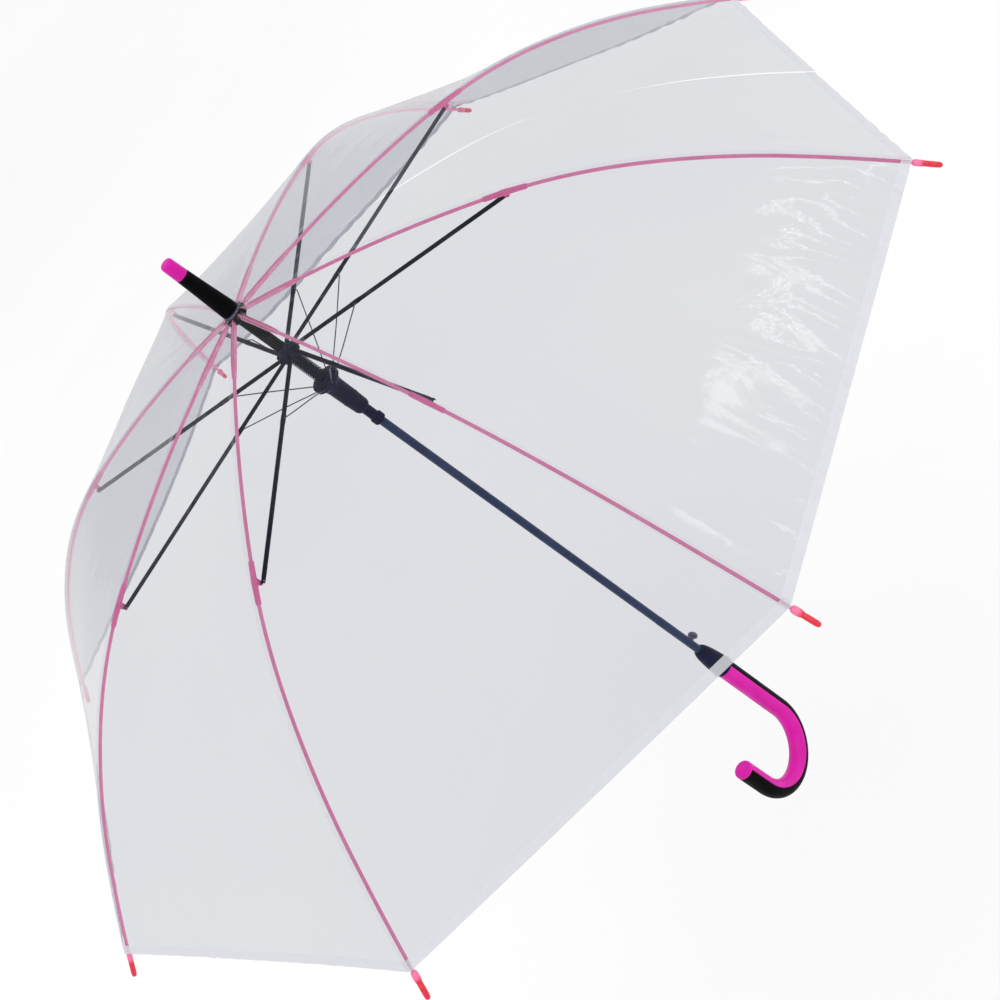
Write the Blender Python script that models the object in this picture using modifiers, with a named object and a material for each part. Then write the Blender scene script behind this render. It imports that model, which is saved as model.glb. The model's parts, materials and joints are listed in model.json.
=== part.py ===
"""Stick umbrella with a clear film canopy, modelled open.

Metres, +Z up along the shaft. The origin is on the shaft's axis, half way up the straight part
of the crook handle, where a hand holds it. The hook opens towards -X and the button faces +X.
"""

import math

import bmesh
import bpy
from mathutils import Matrix, Vector

# Levels along the shaft. The ribs hinge at the notch, and the other levels count from there.
NOTCH_Z = 0.700
UPPER_CROWN_DROP = 0.060
LOWER_CROWN_DROP = 0.104
SLEEVE_FOOT_DROP = 0.150
RING_FOOT_DROP = 0.171
BUTTON_DROP = 0.603
COLLAR_TOP_DROP = 0.6145
COLLAR_FOOT_DROP = 0.654

# Ribs. The droop is the angle below level at equal steps from the hinge to the cap's end.
RIB_COUNT = 8
FIRST_RIB_DEG = -29.0
RIB_HINGE_RADIUS = 0.010
RIB_LENGTH = 0.600
RIB_DROOP_DEG = (7.0, 12.0, 18.0, 33.0, 44.0, 49.0)
RIB_JOINT = 0.2545
RIB_RADIUS = 0.0015
RIB_END = 0.591
CLIP_RADIUS = 0.0022
CLIP_HALF = 0.019
EAR_LENGTH = 0.0068
EAR_THICKNESS = 0.0008
FLEX_GAP = 0.0008
PIN_DROP = 0.005
CAP_START = 0.576
CAP_RADIUS = 0.0026

# Stretchers, a steel channel open below. Each runs beside its rib, so that the two can pass
# while the umbrella folds. The support wires lie under the ribs, with a crank at the end that
# reaches the stretcher's side.
STRETCHER_HINGE_RADIUS = 0.0090
STRETCHER_SIDE = 0.0042
STRETCHER_WIDTH = 0.0032
STRETCHER_HEIGHT = 0.0026
STRETCHER_WALL = 0.0005
STRETCHER_OVERHANG = 0.0016
WIRE_HINGE_RADIUS = 0.0122
WIRE_ATTACH = 0.073
WIRE_RADIUS = 0.0006
WIRE_TAIL = 0.0008
CRANK_LENGTH = 0.0030
CRANK_SIDE = 0.0017

# Canopy film.
FILM_LIFT = 0.0034
FILM_THICKNESS = 0.0003
FILM_START = -0.0038
FILM_END = 0.5752
FILM_SAG = 0.008
HEM_CURVE = 0.003
GORE_GAP = 0.0004

# Shaft, ferrule, crowns and runners.
GAP = 0.0003
SHAFT_RADIUS = 0.0040
SHAFT_WALL = 0.0006
SHAFT_TOP = 0.040
SHAFT_FOOT = 0.008
FERRULE_BASE = 0.0055
FERRULE_JOINT = 0.0585
FERRULE_TIP = 0.0773
NOTCH_RADIUS = 0.0115
UPPER_CROWN_RADIUS = 0.0118
PASSAGE_RADIUS = 0.0110
LOWER_CROWN_RADIUS = 0.0136
CROWN_HALF = 0.0030
INNER_TUBE_RADIUS = 0.0049
RING_RADIUS = 0.0062
RING_HEIGHT = 0.0065
SLOT_CLEARANCE = 0.0004

# Opening spring, round the runner's inner tube.
SPRING_RADIUS = 0.00585
SPRING_WIRE = 0.0006
SPRING_TURNS = 12

# Button.
BUTTON_RADIUS = 0.0050
BUTTON_NECK = 0.0017
BUTTON_HEAD_FROM = 0.0080
BUTTON_HEAD_TO = 0.0130

# Crook handle.
HANDLE_RADIUS = 0.0100
HOOK_RADIUS = 0.0440
HOOK_CENTRE_Z = -0.045
HOOK_TAIL = 0.038
STRIP_DEPTH = 0.0015
STRIP_HALF_DEG = 88.0
STRIP_CLEARANCE_DEG = 2.0
STRIP_END = 0.005
SOCKET_DEPTH = 0.040

SMALL = 0.00005
STEPS_ROUND = 24
STEPS_SMALL = 10


def clear_scene():
    for obj in list(bpy.data.objects):
        bpy.data.objects.remove(obj, do_unlink=True)
    for group in list(bpy.data.collections):
        bpy.data.collections.remove(group)


def new_collection(name):
    group = bpy.data.collections.new(name)
    bpy.context.scene.collection.children.link(group)
    return group


def make_material(name, colour, roughness, metallic=0.0, alpha=1.0):
    material = bpy.data.materials.new(name)
    material.use_nodes = True
    shader = material.node_tree.nodes["Principled BSDF"]
    shader.inputs["Base Color"].default_value = (*colour, 1.0)
    shader.inputs["Roughness"].default_value = roughness
    shader.inputs["Metallic"].default_value = metallic
    shader.inputs["Alpha"].default_value = alpha
    return material


def add_object(name, data, group, parent=None, at=(0, 0, 0), turn=(0, 0, 0)):
    obj = bpy.data.objects.new(name, data)
    group.objects.link(obj)
    obj.parent = parent
    obj.location = at
    obj.rotation_euler = turn
    return obj


def give_material(obj, material):
    obj.data.materials.clear()
    obj.data.materials.append(material)
    return obj


def shade(mesh):
    mesh.shade_smooth()
    mesh.set_sharp_from_angle(angle=math.radians(35))


def settled_mesh(obj, name):
    """The object's evaluated shape as a mesh of its own, with loose caps welded."""
    bpy.context.view_layer.update()
    seen = obj.evaluated_get(bpy.context.evaluated_depsgraph_get())
    mesh = bpy.data.meshes.new_from_object(seen)
    mesh.name = name
    weld = bmesh.new()
    weld.from_mesh(mesh)
    bmesh.ops.remove_doubles(weld, verts=weld.verts, dist=0.00001)
    weld.to_mesh(mesh)
    weld.free()
    shade(mesh)
    return mesh


def mesh_from(build, name):
    """A mesh filled by a function that works on a bmesh."""
    shape = bmesh.new()
    build(shape)
    mesh = bpy.data.meshes.new(name)
    shape.to_mesh(mesh)
    shape.free()
    return mesh


def turned(name, profile, group, steps=STEPS_ROUND, at=(0, 0, 0), turn=(0, 0, 0), closed=True):
    """A turned piece. The profile is (radius, height) pairs from the top, down the outer side."""
    def outline(shape):
        points = [shape.verts.new((radius, 0, height)) for radius, height in profile]
        for first, second in zip(points, points[1:]):
            shape.edges.new((first, second))
        if closed:
            shape.edges.new((points[-1], points[0]))

    obj = add_object(name, mesh_from(outline, name), group, at=at, turn=turn)
    screw = obj.modifiers.new("Turn", "SCREW")
    screw.axis = "Z"
    screw.steps = steps
    screw.render_steps = steps
    screw.use_merge_vertices = True
    screw.merge_threshold = 0.00001
    screw.use_smooth_shade = True
    return obj


def wire_curve(name, points, radius, group, sides=2, thickness=None):
    """A round wire along points, with capped ends. Thickness scales the radius at each point."""
    curve = bpy.data.curves.new(name, "CURVE")
    curve.dimensions = "3D"
    curve.bevel_depth = radius
    curve.bevel_resolution = sides
    curve.use_fill_caps = True
    spline = curve.splines.new("POLY")
    spline.points.add(len(points) - 1)
    for index, place in enumerate(points):
        spline.points[index].co = (*place, 1.0)
        if thickness:
            spline.points[index].radius = thickness[index]
    return add_object(name, curve, group)


def add_boolean(obj, cutter, operation="DIFFERENCE"):
    modifier = obj.modifiers.new(cutter.name, "BOOLEAN")
    modifier.object = cutter
    modifier.operation = operation
    modifier.solver = "EXACT"
    return modifier


def hide_cutter(obj):
    obj.hide_render = True
    obj.display_type = "WIRE"
    return obj


def add_box(shape, size, centre, turn=0.0):
    """A box in a bmesh, turned about Z after it is moved to its centre."""
    where = Matrix.Rotation(turn, 4, "Z") @ Matrix.Translation(centre)
    bmesh.ops.create_cube(shape, size=1.0, matrix=where @ Matrix.Diagonal((*size, 1.0)))


def box_cutter(name, boxes, group):
    """One cutter of several boxes, each (size, centre, turn about Z)."""
    def build(shape):
        for size, centre, turn in boxes:
            add_box(shape, size, centre, turn)

    return hide_cutter(add_object(name, mesh_from(build, name), group))


def rib_turn(index):
    return math.radians(FIRST_RIB_DEG + 360.0 / RIB_COUNT * index)


def droop_at(arc):
    """The rib's angle below level, in radians, at a length along it from its hinge."""
    place = min(max(arc / RIB_LENGTH, 0.0), 1.0) * (len(RIB_DROOP_DEG) - 1)
    low = min(int(place), len(RIB_DROOP_DEG) - 2)
    part = place - low
    return math.radians(RIB_DROOP_DEG[low] * (1 - part) + RIB_DROOP_DEG[low + 1] * part)


def rib_point(arc, lift=0.0):
    """(radius, height from the notch) on the rib's centre line, or lifted off it."""
    steps = max(1, math.ceil(abs(arc) / 0.002))
    radius, height = RIB_HINGE_RADIUS, 0.0
    for step in range(steps):
        droop = droop_at((step + 0.5) / steps * arc)
        radius += math.cos(droop) * arc / steps
        height -= math.sin(droop) * arc / steps
    droop = droop_at(arc)
    return radius + lift * math.sin(droop), height + lift * math.cos(droop)


def pin_point():
    """(radius, height from the notch) of the pin under the rib that the stretcher turns on."""
    return rib_point(RIB_JOINT, -PIN_DROP)


def hinge_place(radius, drop, side=0.0):
    return (radius, side, NOTCH_Z - drop)


def rib_wire(name, arcs, clip_from, clip_to, origin, group):
    """A stretch of rib, thicker where the clip wraps it, measured from its own hinge."""
    points = []
    thickness = []
    for arc in arcs:
        radius, height = rib_point(arc)
        points.append((radius - origin[0], 0.0, height - origin[1]))
        inside = clip_from <= arc <= clip_to
        thickness.append(CLIP_RADIUS / RIB_RADIUS if inside else 1.0)
    return wire_curve(name, points, RIB_RADIUS, group, thickness=thickness)


def spread(start, end, count):
    return [start + (end - start) * step / (count - 1) for step in range(count)]


def inner_rib_mesh(scratch):
    """The rib from its hinge to the clip, with the clip's ear that the stretcher pins to."""
    clip_from = RIB_JOINT - CLIP_HALF
    stop = RIB_JOINT - FLEX_GAP
    arcs = spread(-0.0016, clip_from - SMALL * 10, 7) + [clip_from, stop]
    rod = rib_wire("rod", arcs, clip_from, stop, (RIB_HINGE_RADIUS, 0.0), scratch)
    rod_mesh = settled_mesh(rod, "rod_mesh")
    body = add_object("rib_blank", rod_mesh, scratch)
    pin = pin_point()
    side = STRETCHER_SIDE - STRETCHER_WIDTH / 2 - GAP - EAR_THICKNESS / 2
    turn = Matrix.Rotation(droop_at(RIB_JOINT), 4, "Y")
    middle = rib_point(RIB_JOINT - EAR_LENGTH / 2 - SMALL * 2, -PIN_DROP * 0.42)
    centre = Matrix.Translation((middle[0] - RIB_HINGE_RADIUS, side, middle[1]))
    size = Matrix.Diagonal((EAR_LENGTH, EAR_THICKNESS, PIN_DROP + 0.0016, 1.0))

    def ear_box(shape):
        bmesh.ops.create_cube(shape, size=1.0, matrix=centre @ turn @ size)

    ear = add_object("ear", mesh_from(ear_box, "ear"), scratch)
    add_boolean(body, ear, "UNION")
    return settled_mesh(body, "rib_inner_mesh"), pin


def outer_rib_mesh(scratch):
    clip_to = RIB_JOINT + CLIP_HALF
    start = RIB_JOINT + FLEX_GAP
    arcs = [start, clip_to] + spread(clip_to + SMALL * 10, RIB_END, 9)
    rod = rib_wire("rod", arcs, start, clip_to, rib_point(RIB_JOINT), scratch)
    return settled_mesh(rod, "rib_outer_mesh")


def cap_mesh(scratch):
    """The plastic cap on the rib's end: a socket round the rib, then a slimmer round tip."""
    length = RIB_LENGTH - CAP_START
    bore = RIB_RADIUS + GAP
    deep = RIB_END - CAP_START + 0.001
    profile = [
        (0.0, length),
        (0.0013, length - 0.0004),
        (0.0024, length - 0.0022),
        (0.0024, 0.0095),
        (CAP_RADIUS + 0.0003, 0.0080),
        (CAP_RADIUS + 0.0003, 0.0),
        (bore, 0.0),
        (bore, deep),
        (0.0, deep + 0.0006),
    ]
    cap = turned("cap_blank", profile, scratch, steps=STEPS_SMALL, closed=False)
    mesh = settled_mesh(cap, "rib_cap_mesh")
    mesh.transform(Matrix.Rotation(math.radians(90), 4, "Y"))
    return mesh


def stretcher_mesh(length, scratch):
    """A channel open below, along +X from its hinge."""
    half = STRETCHER_WIDTH / 2
    top = STRETCHER_HEIGHT / 2
    inner = half - STRETCHER_WALL
    outline = [
        (-half, -top),
        (-half, top),
        (half, top),
        (half, -top),
        (inner, -top),
        (inner, top - STRETCHER_WALL),
        (-inner, top - STRETCHER_WALL),
        (-inner, -top),
    ]
    curve = bpy.data.curves.new("channel", "CURVE")
    curve.dimensions = "2D"
    curve.fill_mode = "BOTH"
    curve.extrude = (length + 2 * STRETCHER_OVERHANG) / 2
    spline = curve.splines.new("POLY")
    spline.points.add(len(outline) - 1)
    spline.use_cyclic_u = True
    for point, place in zip(spline.points, outline):
        point.co = (*place, 0.0, 1.0)
    mesh = settled_mesh(add_object("channel", curve, scratch), "stretcher_mesh")
    upright = Matrix.Rotation(math.radians(90), 4, "X") @ Matrix.Rotation(math.radians(90), 4, "Y")
    mesh.transform(Matrix.Translation((length / 2, 0, 0)) @ upright)
    return mesh


def gore_mesh():
    """One film panel centred on its rib, from the apex to the hem, as an open sheet.

    Across, it runs straight from this rib towards the next ones, and sags a little between.
    """
    across, along = 4, 14

    def build(shape):
        bmesh.ops.create_grid(shape, x_segments=along, y_segments=across, size=0.5)
        for vert in shape.verts:
            share = vert.co.x + 0.5
            side = 1.0 if vert.co.y > 0 else -1.0
            between = abs(vert.co.y)
            reach = 1.0 - HEM_CURVE * 4 * between * (1 - between)
            arc = FILM_START + (FILM_END * reach - FILM_START) * share
            radius, height = rib_point(arc, FILM_LIFT)
            chord = 2 * radius * math.sin(math.pi / RIB_COUNT)
            between = min(between, 0.5 - GORE_GAP / 2 / chord)
            sag = FILM_SAG * radius * 4 * between * (1 - between)
            droop = droop_at(arc)
            inward = radius * between * (1 - math.cos(2 * math.pi / RIB_COUNT))
            sideways = radius * between * math.sin(2 * math.pi / RIB_COUNT)
            flat = Vector((radius - inward, side * sideways, 0.0))
            flat -= flat.normalized() * sag * math.sin(droop)
            vert.co = flat + Vector((0.0, 0.0, height - sag * math.cos(droop)))

    mesh = mesh_from(build, "gore_mesh")
    mesh.transform(Matrix.Translation((-RIB_HINGE_RADIUS, 0, 0)))
    return mesh


def slot_boxes(width, inner, outer, low, high, side=0.0):
    """Eight slots that run outwards, one for each rib or a little to its side."""
    size = (outer - inner, width, high - low)
    centre = ((outer + inner) / 2, side, (high + low) / 2)
    return [(size, centre, rib_turn(index)) for index in range(RIB_COUNT)]


def build_shaft(group, cutters, materials):
    top = NOTCH_Z + SHAFT_TOP
    bore = SHAFT_RADIUS - SHAFT_WALL
    profile = [(bore, top), (SHAFT_RADIUS, top), (SHAFT_RADIUS, SHAFT_FOOT), (bore, SHAFT_FOOT)]
    shaft = turned("shaft", profile, group)
    width = 2 * (BUTTON_NECK + GAP)
    place = ((SHAFT_RADIUS, 0.0, NOTCH_Z - BUTTON_DROP), 0.0)
    slot = box_cutter("button_slot", [((0.004, width, 0.010), *place)], cutters)
    add_boolean(shaft, slot)
    give_material(shaft, materials["shaft_metal"])


def build_top_notch(group, cutters, materials):
    """The crown that the ribs hinge in, on a sleeve round the shaft."""
    bore = SHAFT_RADIUS + GAP
    sleeve = 0.0051
    foot = NOTCH_Z - UPPER_CROWN_DROP + 0.0085
    top = NOTCH_Z + 0.0024
    profile = [
        (bore, top),
        (NOTCH_RADIUS - 0.0006, top),
        (NOTCH_RADIUS, top - 0.0006),
        (NOTCH_RADIUS, NOTCH_Z - 0.0030),
        (0.0078, NOTCH_Z - 0.0050),
        (sleeve, NOTCH_Z - 0.0070),
        (sleeve, foot),
        (bore, foot),
    ]
    notch = turned("top_notch", profile, group)
    width = 2 * (RIB_RADIUS + SLOT_CLEARANCE)
    boxes = slot_boxes(width, 0.0078, 0.014, NOTCH_Z - 0.0060, NOTCH_Z + 0.0040)
    add_boolean(notch, box_cutter("rib_slots", boxes, cutters))
    give_material(notch, materials["black_plastic"])


def build_ferrule(group, materials):
    bore = SHAFT_RADIUS + GAP
    base = NOTCH_Z + FERRULE_BASE
    joint = NOTCH_Z + FERRULE_JOINT
    tip = NOTCH_Z + FERRULE_TIP
    socket = NOTCH_Z + SHAFT_TOP + GAP
    sleeve = [
        (0.0, joint),
        (0.0066, joint),
        (0.0086, base + 0.001),
        (0.0082, base),
        (bore, base),
        (bore, socket),
        (0.0, socket),
    ]
    cap = [
        (0.0, tip),
        (0.0030, tip),
        (0.0049, tip - 0.0008),
        (0.0060, tip - 0.0026),
        (0.0063, tip - 0.0050),
        (0.0066, joint + GAP),
        (0.0, joint + GAP),
    ]
    give_material(turned("ferrule", sleeve, group, closed=False), materials["black_plastic"])
    give_material(turned("ferrule_tip", cap, group, closed=False), materials["magenta_plastic"])


def build_upper_runner(group, cutters, materials):
    """Crown for the stretchers, inner tube, and an end ring that straddles the button.

    Shallow grooves in the crown let the support wires stand beside it when folded.
    """
    bore = SHAFT_RADIUS + GAP
    crown = NOTCH_Z - UPPER_CROWN_DROP
    foot = NOTCH_Z - RING_FOOT_DROP
    profile = [
        (bore, crown + 0.0060),
        (0.0062, crown + 0.0060),
        (0.0068, crown + CROWN_HALF + 0.0004),
        (UPPER_CROWN_RADIUS - 0.0008, crown + CROWN_HALF),
        (UPPER_CROWN_RADIUS, crown + CROWN_HALF - 0.0008),
        (UPPER_CROWN_RADIUS, crown - CROWN_HALF),
        (0.0066, crown - CROWN_HALF - 0.0010),
        (INNER_TUBE_RADIUS, crown - CROWN_HALF - 0.0014),
        (INNER_TUBE_RADIUS, foot + RING_HEIGHT + 0.0006),
        (RING_RADIUS, foot + RING_HEIGHT),
        (RING_RADIUS, foot + 0.0008),
        (RING_RADIUS - 0.0008, foot),
        (bore, foot),
    ]
    runner = turned("upper_runner", profile, group)
    width = STRETCHER_WIDTH + 2 * SLOT_CLEARANCE
    swing = math.hypot(STRETCHER_OVERHANG, STRETCHER_HEIGHT / 2)
    inner = STRETCHER_HINGE_RADIUS - swing - GAP
    boxes = slot_boxes(width, inner, 0.014, crown - 0.0050, crown + 0.0070, STRETCHER_SIDE)
    add_boolean(runner, box_cutter("stretcher_slots", boxes, cutters))
    passage = 2 * (WIRE_RADIUS + SLOT_CLEARANCE)
    boxes = slot_boxes(passage, PASSAGE_RADIUS, 0.014, crown - 0.0050, crown + 0.0070)
    add_boolean(runner, box_cutter("wire_passages", boxes, cutters))
    catch = 2 * (BUTTON_NECK + GAP)
    height = 0.0165
    centre = (0.006, 0.0, foot + height / 2 - 0.001)
    add_boolean(runner, box_cutter("catch_slot", [((0.008, catch, height), centre, 0.0)], cutters))
    give_material(runner, materials["navy_plastic"])


def build_lower_runner(group, cutters, materials):
    """Crown for the support wires, on a tapered sleeve that houses the opening spring."""
    crown = NOTCH_Z - LOWER_CROWN_DROP
    foot = NOTCH_Z - SLEEVE_FOOT_DROP
    wide = SPRING_RADIUS + SPRING_WIRE + GAP
    narrow = INNER_TUBE_RADIUS + GAP
    profile = [
        (wide, crown + 0.0050),
        (0.0080, crown + 0.0050),
        (0.0090, crown + 0.0032),
        (LOWER_CROWN_RADIUS - 0.0008, crown + CROWN_HALF),
        (LOWER_CROWN_RADIUS, crown + CROWN_HALF - 0.0008),
        (LOWER_CROWN_RADIUS, crown - CROWN_HALF),
        (0.0094, crown - 0.0065),
        (0.0086, crown - 0.0110),
        (0.0077, foot + 0.0025),
        (0.0066, foot),
        (narrow, foot),
        (narrow, foot + 0.0030),
        (wide, foot + 0.0045),
    ]
    runner = turned("lower_runner", profile, group)
    width = 2 * (WIRE_RADIUS + SLOT_CLEARANCE)
    boxes = slot_boxes(width, 0.0108, 0.016, crown - 0.0070, crown + 0.0060)
    add_boolean(runner, box_cutter("wire_slots", boxes, cutters))
    give_material(runner, materials["navy_plastic"])


def build_spring(group, materials):
    top = NOTCH_Z - UPPER_CROWN_DROP - CROWN_HALF - 0.0014 - SPRING_WIRE - GAP
    foot = NOTCH_Z - SLEEVE_FOOT_DROP + 0.0045 + SPRING_WIRE + GAP
    steps = 10
    points = []
    for step in range(SPRING_TURNS * steps + 1):
        turn = 2 * math.pi * step / steps
        share = step / (SPRING_TURNS * steps)
        across = (SPRING_RADIUS * math.cos(turn), SPRING_RADIUS * math.sin(turn))
        points.append((*across, foot + (top - foot) * share))
    spring = wire_curve("opening_spring", points, SPRING_WIRE, group, sides=1)
    give_material(spring, materials["spring_steel"])


def build_button(group, materials):
    """A domed button on a neck that passes through the shaft's slot."""
    length = BUTTON_HEAD_TO - BUTTON_HEAD_FROM
    foot = SHAFT_RADIUS - SHAFT_WALL - GAP - 0.0010 - BUTTON_HEAD_FROM
    profile = [
        (0.0, length),
        (0.0018, length - 0.0003),
        (0.0033, length - 0.0013),
        (BUTTON_RADIUS, length - 0.0030),
        (BUTTON_RADIUS, 0.0006),
        (BUTTON_RADIUS - 0.0006, 0.0),
        (BUTTON_NECK, 0.0),
        (BUTTON_NECK, foot),
        (0.0, foot),
    ]
    at = (BUTTON_HEAD_FROM, 0.0, NOTCH_Z - BUTTON_DROP)
    turn = (0.0, math.radians(90), 0.0)
    button = turned("push_button", profile, group, 16, at, turn, closed=False)
    give_material(button, materials["grey_plastic"])


def build_collar(group, materials):
    """The bell-shaped collar over the handle's top."""
    bore = SHAFT_RADIUS + GAP
    top = NOTCH_Z - COLLAR_TOP_DROP
    foot = NOTCH_Z - COLLAR_FOOT_DROP
    profile = [
        (bore, top),
        (0.0052, top),
        (0.0070, top - 0.0030),
        (0.0084, top - 0.0080),
        (0.0095, top - 0.0170),
        (0.0107, top - 0.0300),
        (0.0113, foot + 0.0006),
        (0.0107, foot),
        (bore, foot),
    ]
    give_material(turned("handle_collar", profile, group), materials["navy_plastic"])


def hook_path(tail):
    """The crook's centre line, from under the collar to its end, stopping short by the tail."""
    top = NOTCH_Z - COLLAR_FOOT_DROP - GAP
    points = [(0.0, 0.0, z) for z in spread(top, HOOK_CENTRE_Z + 0.012, 4)]
    bends = 20
    for step in range(bends + 1):
        turn = math.pi * step / bends
        across = HOOK_RADIUS * (math.cos(turn) - 1)
        points.append((across, 0.0, HOOK_CENTRE_Z - HOOK_RADIUS * math.sin(turn)))
    end = HOOK_CENTRE_Z + HOOK_TAIL - tail
    points += [(-2 * HOOK_RADIUS, 0.0, z) for z in spread(HOOK_CENTRE_Z + 0.012, end, 3)]
    return points


def half_round_sweep(name, inner, outer, half_deg, path, scratch):
    """A part ring between two radii, swept along the crook on the outer side of its bend."""
    half = math.radians(half_deg)
    arc = spread(-half, half, 11)
    outline = [(inner * math.cos(a), inner * math.sin(a)) for a in arc]
    outline += [(outer * math.cos(a), outer * math.sin(a)) for a in reversed(arc)]
    profile = bpy.data.curves.new(name + "_outline", "CURVE")
    profile.dimensions = "2D"
    profile.fill_mode = "NONE"
    spline = profile.splines.new("POLY")
    spline.points.add(len(outline) - 1)
    spline.use_cyclic_u = True
    for point, place in zip(spline.points, outline):
        point.co = (*place, 0.0, 1.0)
    section = hide_cutter(add_object(name + "_outline", profile, scratch))
    sweep = wire_curve(name + "_sweep", path, 0.0, scratch)
    sweep.data.bevel_mode = "OBJECT"
    sweep.data.bevel_object = section
    return settled_mesh(sweep, name)


def build_handle(group, cutters, scratch, materials):
    """The crook's core, cut back on its outer side for a strip of soft plastic."""
    rod = wire_curve("crook_rod", hook_path(0.0), HANDLE_RADIUS, scratch, sides=6)
    core = add_object("crook_handle", settled_mesh(rod, "crook_handle"), group)
    bevel = core.modifiers.new("Round ends", "BEVEL")
    bevel.width = 0.0016
    bevel.segments = 2
    bevel.limit_method = "ANGLE"
    bevel.angle_limit = math.radians(60)
    groove_from = HANDLE_RADIUS - STRIP_DEPTH - GAP
    path = hook_path(STRIP_END)
    lead = [(0.0, 0.0, path[0][2] + 0.004)] + path[1:]
    groove_deg = STRIP_HALF_DEG + STRIP_CLEARANCE_DEG
    groove = half_round_sweep("strip_groove", groove_from, 0.0125, groove_deg, lead, scratch)
    add_boolean(core, hide_cutter(add_object("strip_groove", groove, cutters)))
    top = NOTCH_Z - COLLAR_FOOT_DROP
    socket = turned(
        "shaft_socket",
        [
            (0.0, top + 0.002),
            (SHAFT_RADIUS + GAP, top + 0.002),
            (SHAFT_RADIUS + GAP, top - SOCKET_DEPTH),
            (0.0, top - SOCKET_DEPTH),
        ],
        cutters,
        closed=False,
    )
    add_boolean(core, hide_cutter(socket))
    give_material(core, materials["magenta_plastic"])
    strip_path = hook_path(STRIP_END + GAP)
    under = HANDLE_RADIUS - STRIP_DEPTH
    name = "handle_back_strip"
    strip = half_round_sweep(name, under, HANDLE_RADIUS, STRIP_HALF_DEG, strip_path, scratch)
    strip_object = add_object(name, strip, group)
    give_material(strip_object, materials["black_plastic"])


def build_ribs(group, scratch, materials):
    """Eight stations round the shaft, each with its rib, cap, stretcher, wire and film panel."""
    inner_mesh, pin = inner_rib_mesh(scratch)
    outer_mesh = outer_rib_mesh(scratch)
    cap = cap_mesh(scratch)
    rise = pin[1] + UPPER_CROWN_DROP
    run = pin[0] - STRETCHER_HINGE_RADIUS
    stretcher = stretcher_mesh(math.hypot(run, rise), scratch)
    tilt = math.atan2(rise, run)
    attach_radius = STRETCHER_HINGE_RADIUS + WIRE_ATTACH * math.cos(tilt)
    attach_height = -UPPER_CROWN_DROP + WIRE_ATTACH * math.sin(tilt)
    wire_rise = attach_height + LOWER_CROWN_DROP
    wire_run = attach_radius - WIRE_HINGE_RADIUS
    wire_tilt = math.atan2(wire_rise, wire_run)
    reach = math.hypot(wire_run, wire_rise)
    wire_line = [(-WIRE_TAIL, 0.0, 0.0), (reach - CRANK_LENGTH, 0.0, 0.0), (reach, CRANK_SIDE, 0.0)]
    wire = settled_mesh(wire_curve("wire", wire_line, WIRE_RADIUS, scratch), "wire_mesh")
    gore = gore_mesh()
    joint = rib_point(RIB_JOINT)
    cap_place = rib_point(CAP_START)
    meshes = {
        "rib_inner": inner_mesh,
        "rib_outer": outer_mesh,
        "rib_cap": cap,
        "stretcher": stretcher,
        "support_wire": wire,
        "canopy_gore": gore,
    }
    places = {
        "rib_inner": hinge_place(RIB_HINGE_RADIUS, 0.0),
        "rib_outer": hinge_place(joint[0], -joint[1]),
        "rib_cap": hinge_place(cap_place[0], -cap_place[1]),
        "stretcher": hinge_place(STRETCHER_HINGE_RADIUS, UPPER_CROWN_DROP, STRETCHER_SIDE),
        "support_wire": hinge_place(WIRE_HINGE_RADIUS, LOWER_CROWN_DROP),
        "canopy_gore": hinge_place(RIB_HINGE_RADIUS, 0.0),
    }
    tilts = {
        "rib_cap": droop_at((CAP_START + RIB_LENGTH) / 2),
        "stretcher": -tilt,
        "support_wire": -wire_tilt,
    }
    finishes = {
        "rib_inner": "pink_metal",
        "rib_outer": "pink_metal",
        "rib_cap": "pink_plastic",
        "stretcher": "black_metal",
        "support_wire": "spring_steel",
        "canopy_gore": "clear_film",
    }
    for kind, mesh in meshes.items():
        mesh.materials.clear()
        mesh.materials.append(materials[finishes[kind]])
    for index in range(RIB_COUNT):
        station = add_object(f"station_{index + 1}", None, group, turn=(0, 0, rib_turn(index)))
        for kind, mesh in meshes.items():
            turn = (0.0, tilts.get(kind, 0.0), 0.0)
            piece = add_object(f"{kind}_{index + 1}", mesh, group, station, places[kind], turn)
            if kind == "canopy_gore":
                solid = piece.modifiers.new("Thickness", "SOLIDIFY")
                solid.thickness = FILM_THICKNESS
                solid.offset = 0.0


def make_materials():
    return {
        "shaft_metal": make_material("shaft_metal", (0.02, 0.025, 0.06), 0.35, 0.6),
        "black_metal": make_material("black_metal", (0.012, 0.012, 0.02), 0.4, 0.5),
        "spring_steel": make_material("spring_steel", (0.12, 0.12, 0.14), 0.35, 0.9),
        "pink_metal": make_material("pink_metal", (0.75, 0.25, 0.45), 0.4, 0.2),
        "pink_plastic": make_material("pink_plastic", (0.95, 0.12, 0.32), 0.35),
        "magenta_plastic": make_material("magenta_plastic", (0.75, 0.02, 0.4), 0.3),
        "black_plastic": make_material("black_plastic", (0.01, 0.01, 0.012), 0.4),
        "navy_plastic": make_material("navy_plastic", (0.015, 0.018, 0.05), 0.4),
        "grey_plastic": make_material("grey_plastic", (0.2, 0.19, 0.28), 0.4),
        "clear_film": make_material("clear_film", (0.85, 0.87, 0.9), 0.12, 0.0, 0.3),
    }


def main():
    clear_scene()
    group = new_collection("stick_umbrella")
    cutters = new_collection("cutters")
    scratch = new_collection("scratch")
    materials = make_materials()
    build_shaft(group, cutters, materials)
    build_top_notch(group, cutters, materials)
    build_ferrule(group, materials)
    build_upper_runner(group, cutters, materials)
    build_lower_runner(group, cutters, materials)
    build_spring(group, materials)
    build_button(group, materials)
    build_collar(group, materials)
    build_handle(group, cutters, scratch, materials)
    build_ribs(group, scratch, materials)
    for obj in list(scratch.objects):
        bpy.data.objects.remove(obj, do_unlink=True)
    bpy.data.collections.remove(scratch)


main()
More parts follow.
